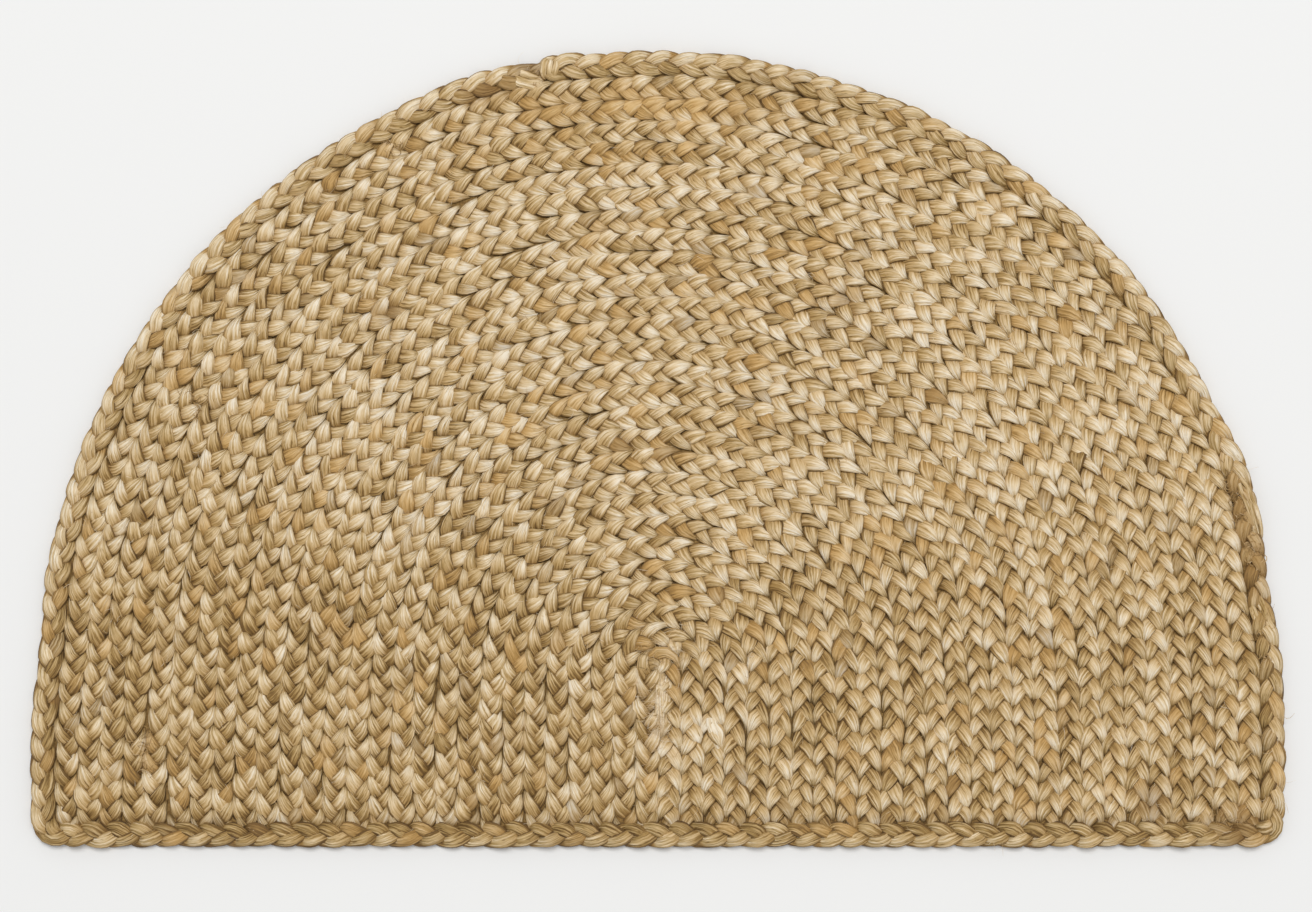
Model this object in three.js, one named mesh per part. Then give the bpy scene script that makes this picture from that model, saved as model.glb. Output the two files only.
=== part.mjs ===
// A half-moon doormat of plaited jute. A flat three-strand plait is laid in U-shaped rows round a short
// straight centre, and a second plait is sewn round the outline with its two ends meeting upper left.
// Millimetres, +Z up. X runs along the straight cut edge and Y from it towards the top of the arch.
// The mat lies flat on Z = 0, with the origin under the middle of its outline.

import * as THREE from "three";

const matWidth = 800;
const thickness = 10;
const rowCount = 27;
const rowPitch = 14;
const edgeWidth = 15.3;
const sewingGap = 0.3;
const legLength = 113.7;
const lobePitch = 12.5;

const fieldRadius = rowCount * rowPitch;
const archRadius = fieldRadius + sewingGap + edgeWidth;
const matDepth = archRadius + legLength;
const bottomY = -matDepth / 2;
const springY = bottomY + legLength;
const cutY = bottomY + edgeWidth + sewingGap;

// The legs spread a little wider than the arch: from above the spring line, and in full below it.
const flare = matWidth / 2 - archRadius;
const flareStart = -30;
const flareEnd = 50;

// Places where the outer rows lie out of the true arc, or inside it where out is negative.
const swellFade = 32;
const swells = [
  { angle: 171, spread: 8, out: 1.6 },
  { angle: 106, spread: 13, out: 3 },
  { angle: 74, spread: 11, out: -1.3 },
  { angle: 33, spread: 10, out: -1.1 },
  { angle: 18, spread: 8, out: 3.2 },
  { angle: 0, spread: 9, out: 3 },
];

// A row's section, as shares of its width and of the thickness. The first point is the sewn seam.
const rowSection = [
  { across: 0, height: 0.6 },
  { across: 0.2, height: 0.9 },
  { across: 0.5, height: 1 },
  { across: 0.8, height: 0.9 },
];
const legSteps = 3;
const arcStep = 26;
const fewestArcSteps = 8;
const mostArcSteps = 44;
const rimArcSteps = 132;
const rimHeight = 0.6;
const cornerEase = 2;

// The edge plait's section, from its outer foot over the top to its inner foot. dip is the share that a
// point loses between two lobes of its side.
const edgeSection = [
  { across: 0.42, height: 0, dip: 0.06 },
  { across: 0.5, height: 0.45, dip: 0.1 },
  { across: 0.34, height: 0.88, dip: 0.16 },
  { across: 0, height: 1, dip: 0 },
  { across: -0.34, height: 0.88, dip: 0.16 },
  { across: -0.5, height: 0.45, dip: 0.1 },
  { across: -0.42, height: 0, dip: 0.06 },
];
const innerCorner = 1;
const joinAngle = 101.2;
const joinGap = 1.2;
const tailLength = 22;
const tailWidth = 0.7;

const degree = Math.PI / 180;

function smoothStep(share) {
  const held = Math.min(Math.max(share, 0), 1);
  return held * held * (3 - 2 * held);
}

// How far a row of this radius is pushed out of the true U, at an angle of the arch and a distance
// below the spring line.
function pushOut(radius, angle, below) {
  const share = Math.min(radius / fieldRadius, 1);
  const aboveSpring = Math.min(angle, 180 - angle) * degree * archRadius;
  const fromSpring = below - aboveSpring;
  let push = flare * share * smoothStep((fromSpring - flareStart) / (flareEnd - flareStart));
  for (const swell of swells) {
    const away = Math.abs(angle - swell.angle) / swell.spread;
    if (away < 1) {
      const fade = Math.max(1 - below / swellFade, 0);
      push += swell.out * share ** 3 * fade * (1 + Math.cos(away * Math.PI)) / 2;
    }
  }
  return push;
}

// A point of the U of this radius. side is -1 on the left leg and 1 on the right one.
function legPoint(radius, side, below) {
  const angle = side < 0 ? 180 : 0;
  const reach = radius + pushOut(radius, angle, below);
  return new THREE.Vector2(side * reach, springY - below);
}

function archPoint(radius, angle) {
  const reach = radius + pushOut(radius, angle, 0);
  return new THREE.Vector2(reach * Math.cos(angle * degree), springY + reach * Math.sin(angle * degree));
}

// Collects the points and triangles of one closed solid.
class Solid {
  constructor() {
    this.positions = [];
    this.triangles = [];
  }

  point(plan, height) {
    this.positions.push(plan.x, plan.y, height);
    return this.positions.length / 3 - 1;
  }

  plan(id) {
    return new THREE.Vector2(this.positions[id * 3], this.positions[id * 3 + 1]);
  }

  triangle(a, b, c) {
    if (a !== b && b !== c && c !== a) this.triangles.push(a, b, c);
  }

  // Fills the band between two lines of points. Each line is a list of { id, along } with along rising.
  band(near, far) {
    let i = 0;
    let j = 0;
    while (i < near.length - 1 || j < far.length - 1) {
      const nearNext = i < near.length - 1 ? near[i + 1].along : Infinity;
      const farNext = j < far.length - 1 ? far[j + 1].along : Infinity;
      if (nearNext <= farNext) {
        this.triangle(near[i].id, near[i + 1].id, far[j].id);
        i += 1;
      } else {
        this.triangle(near[i].id, far[j + 1].id, far[j].id);
        j += 1;
      }
    }
  }

  mesh(name, material) {
    const geometry = new THREE.BufferGeometry();
    geometry.setAttribute("position", new THREE.Float32BufferAttribute(this.positions, 3));
    geometry.setIndex(this.triangles);
    geometry.computeVertexNormals();
    const mesh = new THREE.Mesh(geometry, material);
    mesh.name = name;
    return mesh;
  }
}

// One line of points along a row, up the left leg, over the arch and down the right leg. along runs
// 0 to 1 on the left leg, 1 to 2 on the arch and 2 to 3 on the right leg.
function rowLine(solid, radius, height, arcSteps, ease) {
  const line = [];
  const legDrop = springY - cutY - ease;
  for (let step = 0; step < legSteps; step += 1) {
    const along = step / legSteps;
    line.push({ id: solid.point(legPoint(radius, -1, legDrop * (1 - along)), height), along });
  }
  for (let step = 0; step <= arcSteps; step += 1) {
    const along = step / arcSteps;
    line.push({ id: solid.point(archPoint(radius, 180 * (1 - along)), height), along: 1 + along });
  }
  for (let step = 1; step <= legSteps; step += 1) {
    const along = step / legSteps;
    line.push({ id: solid.point(legPoint(radius, 1, legDrop * along), height), along: 2 + along });
  }
  return line;
}

// The line down the middle, where the two legs of the first row are sewn together.
function middleLine(solid, height) {
  const down = [];
  for (let step = 0; step <= legSteps; step += 1) {
    const along = step / legSteps;
    const below = (springY - cutY) * (1 - along);
    down.push({ id: solid.point(new THREE.Vector2(0, springY - below), height), along });
  }
  const back = down.map((place) => ({ id: place.id, along: 3 - place.along }));
  return down.concat(back.reverse());
}

function arcStepsAt(radius) {
  const steps = Math.round(Math.PI * radius / arcStep);
  return Math.min(Math.max(steps, fewestArcSteps), mostArcSteps);
}

// The wound rows: a ribbed top, a flat underside, the outer rim and the straight cut end.
function makeField(material) {
  const solid = new Solid();
  const lines = [middleLine(solid, thickness * rowSection[0].height)];
  for (let row = 0; row < rowCount; row += 1) {
    const steps = arcStepsAt((row + 0.5) * rowPitch);
    for (const place of rowSection) {
      const radius = (row + place.across) * rowPitch;
      if (radius > 0) lines.push(rowLine(solid, radius, thickness * place.height, steps, 0));
    }
  }
  const rim = rowLine(solid, fieldRadius, thickness * rimHeight, rimArcSteps, cornerEase);
  lines.push(rim);
  for (let index = 1; index < lines.length; index += 1) solid.band(lines[index - 1], lines[index]);

  const foot = rowLine(solid, fieldRadius, 0, rimArcSteps, cornerEase);
  solid.band(rim, foot);

  const leftEnds = lines.map((line) => line[0].id).reverse();
  const rightEnds = lines.map((line) => line[line.length - 1].id).slice(1);
  const footEnds = [foot[0].id, foot[foot.length - 1].id];
  const byX = (id) => ({ id, along: solid.plan(id).x });
  solid.band(footEnds.map(byX), leftEnds.concat(rightEnds).map(byX));

  const outline = foot.map((place) => solid.plan(place.id));
  for (const [a, b, c] of THREE.ShapeUtils.triangulateShape(outline, [])) {
    const turn = outline[b].clone().sub(outline[a]).cross(outline[c].clone().sub(outline[a]));
    const ids = turn < 0 ? [a, b, c] : [a, c, b];
    solid.triangle(...ids.map((index) => foot[index].id));
  }
  return solid.mesh("field", material);
}

// The edge plait's way round the mat, clockwise from the join. Each run tells its length on the outer
// side, and the place of its middle with the direction that points out of the mat.
function edgeRuns() {
  const middle = archRadius - edgeWidth / 2;
  const cornerRadius = innerCorner + edgeWidth / 2;
  const outerCorner = innerCorner + edgeWidth;
  const cornerX = matWidth / 2 - outerCorner;
  const cornerY = bottomY + outerCorner;
  const legRun = springY - cornerY;
  const joinHalf = joinGap / 2 / archRadius / degree;
  const outwards = (turn) => new THREE.Vector2(Math.cos(turn * degree), Math.sin(turn * degree));
  const arc = (from, to) => ({
    length: (from - to) * degree * archRadius,
    at: (share) => {
      const angle = from + (to - from) * share;
      return { place: archPoint(middle, angle), out: outwards(angle) };
    },
  });
  const leg = (side, from, to) => ({
    length: legRun,
    at: (share) => {
      const below = legRun * (from + (to - from) * share);
      return { place: legPoint(middle, side, below), out: new THREE.Vector2(side, 0) };
    },
  });
  const corner = (side, from, to) => ({
    length: 90 * degree * outerCorner,
    at: (share) => {
      const out = outwards(from + (to - from) * share);
      const centre = new THREE.Vector2(side * cornerX, cornerY);
      return { place: centre.addScaledVector(out, cornerRadius), out };
    },
  });
  const straight = {
    length: 2 * cornerX,
    at: (share) => {
      const place = new THREE.Vector2(cornerX * (1 - 2 * share), cornerY - cornerRadius);
      return { place, out: new THREE.Vector2(0, -1) };
    },
  };
  return [
    arc(joinAngle - joinHalf, 0),
    leg(1, 0, 1),
    corner(1, 0, -90),
    straight,
    corner(-1, 270, 180),
    leg(-1, 1, 0),
    arc(180, joinAngle + joinHalf),
  ];
}

// The plait round the outline. Its lobes stand out by turns on the outer and the inner side.
function makeEdgeBraid(material) {
  const solid = new Solid();
  const runs = edgeRuns();
  const total = runs.reduce((sum, run) => sum + run.length, 0);
  const halfLobes = 2 * Math.round(total / lobePitch);
  const rings = [];
  for (let step = 0; step <= halfLobes; step += 1) {
    let left = total * step / halfLobes;
    let index = 0;
    while (index < runs.length - 1 && left > runs[index].length) {
      left -= runs[index].length;
      index += 1;
    }
    const { place, out } = runs[index].at(Math.min(left / runs[index].length, 1));
    const toTail = total * (1 - step / halfLobes) / tailLength;
    const narrow = tailWidth + (1 - tailWidth) * smoothStep(toTail);
    const lobeSide = step % 2 === 0 ? 1 : -1;
    rings.push(edgeSection.map((corner) => {
      const dipped = corner.across * lobeSide > 0 ? 1 : 1 - corner.dip;
      const reach = corner.across * edgeWidth * dipped * narrow;
      return solid.point(place.clone().addScaledVector(out, reach), thickness * corner.height * dipped);
    }));
  }
  const sides = edgeSection.length;
  for (let step = 1; step < rings.length; step += 1) {
    for (let side = 0; side < sides; side += 1) {
      const next = (side + 1) % sides;
      solid.triangle(rings[step - 1][side], rings[step - 1][next], rings[step][next]);
      solid.triangle(rings[step - 1][side], rings[step][next], rings[step][side]);
    }
  }
  const first = rings[0];
  const last = rings[rings.length - 1];
  for (let side = 1; side < sides - 1; side += 1) {
    solid.triangle(first[0], first[side + 1], first[side]);
    solid.triangle(last[0], last[side], last[side + 1]);
  }
  return solid.mesh("edge_braid", material);
}

const fieldJute = new THREE.MeshStandardMaterial({ color: 0xbfa67c, roughness: 0.85, metalness: 0 });
const edgeJute = new THREE.MeshStandardMaterial({ color: 0xb09566, roughness: 0.85, metalness: 0 });

const doormat = new THREE.Group();
doormat.add(makeField(fieldJute), makeEdgeBraid(edgeJute));

export default doormat;
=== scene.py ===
import math

import bmesh
import bpy
import numpy as np
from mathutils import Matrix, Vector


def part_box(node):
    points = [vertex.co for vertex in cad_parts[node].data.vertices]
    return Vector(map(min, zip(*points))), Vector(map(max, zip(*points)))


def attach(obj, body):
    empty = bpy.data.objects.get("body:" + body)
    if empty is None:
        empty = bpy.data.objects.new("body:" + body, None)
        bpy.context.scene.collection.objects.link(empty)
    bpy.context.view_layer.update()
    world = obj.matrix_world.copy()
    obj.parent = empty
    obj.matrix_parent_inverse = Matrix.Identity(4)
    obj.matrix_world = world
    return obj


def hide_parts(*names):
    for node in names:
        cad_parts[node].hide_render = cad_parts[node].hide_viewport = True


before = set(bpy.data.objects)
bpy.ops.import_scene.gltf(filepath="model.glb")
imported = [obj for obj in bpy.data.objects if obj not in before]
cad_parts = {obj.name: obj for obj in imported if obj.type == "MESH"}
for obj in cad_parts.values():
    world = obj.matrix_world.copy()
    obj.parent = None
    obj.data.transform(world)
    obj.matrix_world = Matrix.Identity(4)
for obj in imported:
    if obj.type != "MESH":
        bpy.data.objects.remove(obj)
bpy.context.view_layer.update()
fieldLow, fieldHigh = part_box("field")
edgeLow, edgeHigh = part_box("edge_braid")

# The mat as a whole, in metres and degrees. The row sizes and the spread of the legs are those of
# the solids.
mat = {
    "rowCount": 27,
    "rowPitch": 0.014,
    "sewingGap": 0.0003,
    "flareStart": -0.030,
    "flareEnd": 0.050,
    "swellFade": 0.032,
    "joinAngle": 100.8,
    "joinGap": -0.0022,
    "innerCorner": 0.001,
    "seed": 11,
}

# Where the outer rows lie out of the true arc.
swells = [
    {"angle": 171, "spread": 8, "out": 0.0016},
    {"angle": 106, "spread": 13, "out": 0.0030},
    {"angle": 74, "spread": 11, "out": -0.0013},
    {"angle": 33, "spread": 10, "out": -0.0011},
    {"angle": 18, "spread": 8, "out": 0.0032},
    {"angle": 0, "spread": 9, "out": 0.0030},
]

fieldRadius = mat["rowCount"] * mat["rowPitch"]
bottomY = edgeLow.y
cutY = fieldLow.y
edgeWidth = cutY - bottomY - mat["sewingGap"]
archRadius = fieldRadius + mat["sewingGap"] + edgeWidth
springY = edgeHigh.y - archRadius
halfWidth = edgeHigh.x
flare = halfWidth - archRadius
thickness = edgeHigh.z
quarter = math.pi / 2
fullTurn = math.pi * 2
dice = np.random.default_rng(mat["seed"])
playCount = 1499  # random values drawn for each strand, more than it has lobes


def smoothStep(share):
    held = np.clip(share, 0.0, 1.0)
    return held * held * (3.0 - 2.0 * held)


def smoothNoise(place, values):
    # Random values joined smoothly, one to each whole number of place.
    cell = np.floor(place).astype(int)
    blend = smoothStep(place - cell)
    count = len(values)
    return values[cell % count] * (1.0 - blend) + values[(cell + 1) % count] * blend


def pushOut(radius, angle, below):
    # How far a row stands out of its true arc, from the spread of the legs and the swells.
    share = min(radius / fieldRadius, 1.0)
    aboveSpring = np.minimum(angle, math.pi - angle) * archRadius
    spread = mat["flareEnd"] - mat["flareStart"]
    push = flare * share * smoothStep((below - aboveSpring - mat["flareStart"]) / spread)
    fade = np.maximum(1.0 - below / mat["swellFade"], 0.0)
    for swell in swells:
        away = np.minimum(np.abs(np.degrees(angle) - swell["angle"]) / swell["spread"], 1.0)
        push = push + swell["out"] * share ** 3 * fade * (1.0 + np.cos(away * math.pi)) / 2.0
    return push


# The path of a plait, laid from arcs and straights, each a row of middle points and of ways out of
# the mat.
pathStep = 0.001
leastSteps = 8
cornerSteps = 24
samePlace = 1e-6  # path points nearer than this count as one

# How the rows waver: a slow and a quick wave along them, which die out at the rim and at the centre.
waver = {
    "calm": 0.05,
    "slowLength": 0.021,
    "slowShift": 23.0,
    "quickLength": 0.0093,
    "quickShift": 61.0,
    "quickStart": 1.3,
    "quickShare": 0.5,
}


def wavering(radius, travel):
    # Rows lean on their neighbours, so a bend in one runs on into the next.
    rim = smoothStep((fieldRadius - radius) / waver["calm"]) * smoothStep(radius / waver["calm"])
    slow = np.sin(travel / waver["slowLength"] + radius * waver["slowShift"])
    quick = np.sin(travel / waver["quickLength"] + radius * waver["quickShift"] + waver["quickStart"])
    return rim * (slow + waver["quickShare"] * quick)


def archStretch(radius, fromAngle, toAngle, wander=0.0):
    count = max(int(abs(toAngle - fromAngle) * radius / pathStep), leastSteps)
    angle = np.linspace(fromAngle, toAngle, count)
    pushed = radius + pushOut(radius, angle, np.zeros(count))
    reach = pushed + wander * wavering(radius, angle * radius)
    out = np.stack([np.cos(angle), np.sin(angle)], axis=1)
    return out * reach[:, None] + [0.0, springY], out


def legStretch(radius, side, fromBelow, toBelow, wander=0.0):
    count = max(int(abs(toBelow - fromBelow) / pathStep), leastSteps)
    below = np.linspace(fromBelow, toBelow, count)
    angle = np.zeros(count) if side > 0 else np.full(count, math.pi)
    travel = angle * radius - side * below
    reach = radius + pushOut(radius, angle, below) + wander * wavering(radius, travel)
    middle = np.stack([side * reach, springY - below], axis=1)
    return middle, np.tile([side, 0.0], (count, 1))


def cornerStretch(middleX, middleY, radius, fromAngle, toAngle):
    angle = np.linspace(fromAngle, toAngle, cornerSteps)
    out = np.stack([np.cos(angle), np.sin(angle)], axis=1)
    return out * radius + [middleX, middleY], out


def straightStretch(fromX, toX, y):
    count = int(abs(toX - fromX) / pathStep)
    middle = np.stack([np.linspace(fromX, toX, count), np.full(count, y)], axis=1)
    return middle, np.tile([0.0, -1.0], (count, 1))


def joinPath(stretches):
    middle = np.vstack([stretch[0] for stretch in stretches])
    out = np.vstack([stretch[1] for stretch in stretches])
    steps = np.hypot(*np.diff(middle, axis=0).T)
    kept = np.append(True, steps > samePlace)
    reach = np.append(0.0, np.cumsum(steps))[kept]
    return {"reach": reach, "middle": middle[kept], "out": out[kept], "length": reach[-1]}


def placeOn(path, distance):
    middle = [np.interp(distance, path["reach"], path["middle"][:, axis]) for axis in (0, 1)]
    out = [np.interp(distance, path["reach"], path["out"][:, axis]) for axis in (0, 1)]
    return np.stack(middle, axis=1), np.stack(out, axis=1)


# Where the jute is another colour than round about it: a place from the middle of the arch, how far the
# patch runs along and across the rows, and how golden, brown or pale it is.
patches = [
    {"angle": 92, "radius": 0.360, "along": 0.125, "across": 0.014, "golden": 0.75},
    {"angle": 93, "radius": 0.331, "along": 0.060, "across": 0.008, "golden": 0.60},
    {"angle": 127, "radius": 0.285, "along": 0.012, "across": 0.008, "golden": 0.60, "brown": 0.80},
    {"angle": 63, "radius": 0.265, "along": 0.012, "across": 0.008, "golden": 0.60, "brown": 0.70},
    {"angle": -15, "radius": 0.325, "along": 0.018, "across": 0.014, "golden": 0.30, "brown": 0.70},
    {"angle": 190.3, "radius": 0.330, "along": 0.036, "across": 0.014, "golden": 0.60, "brown": 0.45},
    {"angle": -60, "radius": 0.050, "along": 0.060, "across": 0.010, "pale": 0.70},
    {"angle": 102, "radius": 0.391, "along": 0.014, "across": 0.010, "golden": 0.40, "brown": 1.00},
    {"angle": 106.4, "radius": 0.383, "along": 0.026, "across": 0.008, "golden": 0.90, "brown": 0.70},
    {"angle": 12, "radius": 0.388, "along": 0.062, "across": 0.014, "golden": 0.70, "brown": 0.50},
    {"angle": -15, "radius": 0.381, "along": 0.016, "across": 0.024, "golden": 0.40, "brown": 0.60},
]
patchSharpness = 1.6

# The cut ends of the rows, along the straight edge, are browner.
cutEnds = {"reach": 0.007, "brown": 0.45}


def tintAt(points, edge):
    # Golden, brown and pale shares at points of the mat.
    x = points[:, 0]
    y = points[:, 1] - springY
    radius = np.hypot(x, y)
    angle = np.arctan2(y, x)
    tints = np.zeros((len(points), 3))
    for patch in patches:
        turn = (angle - math.radians(patch["angle"])) * radius / patch["along"]
        across = (radius - patch["radius"]) / patch["across"]
        weight = smoothStep(patchSharpness * (1.0 - np.hypot(turn, across)))
        for channel, name in enumerate(("golden", "brown", "pale")):
            tints[:, channel] = np.maximum(tints[:, channel], weight * patch.get(name, 0.0))
    if not edge:
        ragged = smoothStep(1.0 - (points[:, 1] - cutY) / cutEnds["reach"])
        tints[:, 1] = np.maximum(tints[:, 1], cutEnds["brown"] * ragged)
    return tints


# Painted light and shade for the light falling off across the mat: the legs darker than the arch, the
# left side darker than the right, and the edge plait darkest where it runs straight.
paintedFalloff = {
    "arch": 0.075,
    "perMetre": 0.07,
    "legs": 0.11,
    "edge": 0.13,
    "from": -0.02,
    "over": 0.10,
    "edgeOver": 0.01,
}


def paintedFalloffAt(points, edge):
    legs = smoothStep((paintedFalloff["from"] - points[:, 1]) / paintedFalloff["over"])
    tone = paintedFalloff["arch"] + paintedFalloff["perMetre"] * points[:, 0] - paintedFalloff["legs"] * legs
    if edge:
        tone = tone - paintedFalloff["edge"] * smoothStep((cutY - points[:, 1]) / paintedFalloff["edgeOver"])
    return tone


# The section of a strand, with more points on its upper half. It starts underneath, where its seam is
# hidden. Its fibre bundles are ridges along it, and its two edges are painted darker and more golden:
# painted shade of the creases between strands, with some dust.
section = {
    "top": 8,
    "bottom": 4,
    "squash": 0.90,
    "ridge": 0.13,
    "ridgeSteps": 6.0,
    "ridgeShift": 101.37,
    "edgeShade": 0.62,
    "edgeSharpness": 12.0,
    "edgeShadeGolden": 0.5,
    "fibreShift": 40.0,
}


def buildProfile(width, height):
    lower = np.arange(section["bottom"] // 2) * math.pi / section["bottom"]
    upper = np.arange(section["top"]) * math.pi / section["top"]
    angles = np.concatenate([lower - quarter, upper, lower + math.pi])
    y = np.sign(np.sin(angles)) * np.abs(np.sin(angles)) ** section["squash"]
    profile = profileCurve(np.cos(angles) * width / 2, y * height / 2)
    profile["shade"] = section["edgeShade"] * np.abs(np.cos(angles)) ** section["edgeSharpness"]
    return profile


def profileCurve(x, y):
    profile = bpy.data.curves.new("profile", "CURVE")
    spline = profile.splines.new("POLY")
    spline.points.add(len(x) - 1)
    spline.points.foreach_set("co", np.stack([x, y, 0 * x, 0 * x + 1], axis=1).ravel())
    spline.use_cyclic_u = True
    holder = bpy.data.objects.new("profile", profile)
    bpy.context.scene.collection.objects.link(holder)
    around = float(np.hypot(np.diff(np.append(x, x[0])), np.diff(np.append(y, y[0]))).sum())
    return {"object": holder, "sides": len(x), "around": around}


def addSpline(curve, points, sizes, rolls):
    spline = curve.splines.new("POLY")
    spline.points.add(len(points) - 1)
    spline.points.foreach_set("co", np.hstack([points, np.ones((len(points), 1))]).ravel())
    spline.points.foreach_set("radius", sizes)
    spline.points.foreach_set("tilt", rolls)
    spline.use_smooth = True


def newSweep(profile):
    # A curve that draws the profile along each of its splines.
    curve = bpy.data.curves.new("sweep", "CURVE")
    curve.dimensions = "3D"
    curve.twist_mode = "Z_UP"
    curve.bevel_mode = "OBJECT"
    curve.bevel_object = profile["object"]
    curve.use_fill_caps = True
    return curve


def sweepMesh(curve):
    holder = bpy.data.objects.new("sweep", curve)
    bpy.context.scene.collection.objects.link(holder)
    bpy.context.view_layer.update()
    evaluated = holder.evaluated_get(bpy.context.evaluated_depsgraph_get())
    mesh = bpy.data.meshes.new_from_object(evaluated)
    bpy.data.objects.remove(holder)
    bpy.data.curves.remove(curve)
    return mesh


def strandMesh(run, profile):
    # One strand, with its fibre bundles raised a little and its place along and around kept for the
    # material. The sweep's points are those of its last cap, of its first cap and of every step.
    curve = newSweep(profile)
    addSpline(curve, run["points"], run["sizes"], run["rolls"])
    mesh = sweepMesh(curve)
    sides = profile["sides"]
    count = len(run["points"])
    caps = [np.full(sides, count - 1), np.zeros(sides, int)]
    step = np.concatenate(caps + [np.repeat(np.arange(count), sides)])
    side = np.tile(np.arange(sides), count + len(caps))

    co = np.empty(len(mesh.vertices) * 3)
    mesh.vertices.foreach_get("co", co)
    co = co.reshape(-1, 3)
    ridges = dice.uniform(-1.0, 1.0, playCount)
    ridgePlace = step / section["ridgeSteps"] + side * section["ridgeShift"]
    lift = section["ridge"] * smoothNoise(ridgePlace, ridges)
    middle = run["points"][step]
    co = middle + (co - middle) * (1.0 + lift)[:, None]
    co[:, 2] = np.maximum(co[:, 2], 0.0)  # pressed flat on the floor
    mesh.vertices.foreach_set("co", co.ravel())

    uvLayer = mesh.uv_layers[0]
    uvLayer.name = "fibre"
    uv = np.empty(len(mesh.loops) * 2)
    uvLayer.uv.foreach_get("vector", uv)
    uv = uv.reshape(-1, 2)
    alongFibre = np.interp(uv[:, 0] * (count - 1), np.arange(count), run["along"])
    uv[:, 0] = alongFibre + dice.uniform(0.0, section["fibreShift"])
    uv[:, 1] *= profile["around"]
    uvLayer.uv.foreach_set("vector", uv.ravel())

    colour = run["tint"][step]
    # Painted shade at the strand's two edges, with some dust: darker and more golden.
    colour[:, 0] -= profile["shade"][side]
    colour[:, 1] += section["edgeShadeGolden"] * profile["shade"][side]
    tint = mesh.attributes.new("tint", "FLOAT_COLOR", "POINT")
    tint.data.foreach_set("color", colour.ravel())
    return mesh


capWeld = 1e-7  # joins the caps' points to those of the strand


def finishPiece(name, meshes, node, material):
    # Joins strands into one piece and closes their ends.
    joined = bmesh.new()
    for mesh in meshes:
        joined.from_mesh(mesh)
        bpy.data.meshes.remove(mesh)
    bmesh.ops.remove_doubles(joined, verts=joined.verts, dist=capWeld)
    if joined.calc_volume(signed=True) < 0:
        bmesh.ops.reverse_faces(joined, faces=joined.faces)
    for face in joined.faces:
        face.smooth = True
    data = bpy.data.meshes.new(name)
    joined.to_mesh(data)
    joined.free()
    data.materials.append(material)
    piece = bpy.data.objects.new(name, data)
    bpy.context.scene.collection.objects.link(piece)
    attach(piece, "root")
    if node:
        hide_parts(node)
    triangles = sum(len(face.vertices) - 2 for face in data.polygons)
    print("made", name, "with", triangles, "triangles")
    return piece


def newGroup(name, inputs, outputs):
    group = bpy.data.node_groups.new(name, "ShaderNodeTree")
    for label, kind, value in inputs:
        socket = group.interface.new_socket(label, in_out="INPUT", socket_type=kind)
        if value is not None:
            socket.default_value = value
    for label, kind in outputs:
        group.interface.new_socket(label, in_out="OUTPUT", socket_type=kind)
    return group, group.nodes.new("NodeGroupInput"), group.nodes.new("NodeGroupOutput")


def mathNode(tree, operation, first, second=None, third=None):
    node = tree.nodes.new("ShaderNodeMath")
    node.operation = operation
    for socket, value in zip(node.inputs, (first, second, third)):
        if isinstance(value, (int, float)):
            socket.default_value = value
        elif value is not None:
            tree.links.new(value, socket)
    return node.outputs[0]


def rangeNode(tree, value, fromLow, fromHigh, toLow, toHigh):
    node = tree.nodes.new("ShaderNodeMapRange")
    node.interpolation_type = "SMOOTHSTEP"
    node.inputs["From Min"].default_value = fromLow
    node.inputs["From Max"].default_value = fromHigh
    node.inputs["To Min"].default_value = toLow
    node.inputs["To Max"].default_value = toHigh
    tree.links.new(value, node.inputs["Value"])
    return node.outputs[0]


def mixNode(tree, share, under, over, blend="MIX"):
    node = tree.nodes.new("ShaderNodeMix")
    node.data_type = "RGBA"
    node.blend_type = blend
    sockets = node.inputs[:1] + [socket for socket in node.inputs if socket.type == "RGBA"]
    for socket, value in zip(sockets, (share, under, over)):
        if isinstance(value, (int, float, tuple)):
            socket.default_value = value
        else:
            tree.links.new(value, socket)
    return [socket for socket in node.outputs if socket.type == "RGBA"][0]


# The streaks that run along a strand: wide bundles, single fibres and short dark flecks. The fibres do
# not run quite straight.
noiseMiddle = 0.5
strayScale = 260.0
streakLayers = [
    {"out": "Bundles", "size": "Bundle", "detail": 1.5, "shift": 0.0},
    {"out": "Fibres", "size": "Fibre", "detail": 2.0, "shift": 17.0},
    {"out": "Flecks", "size": "Fleck", "detail": 1.0, "shift": 43.0},
]


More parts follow.
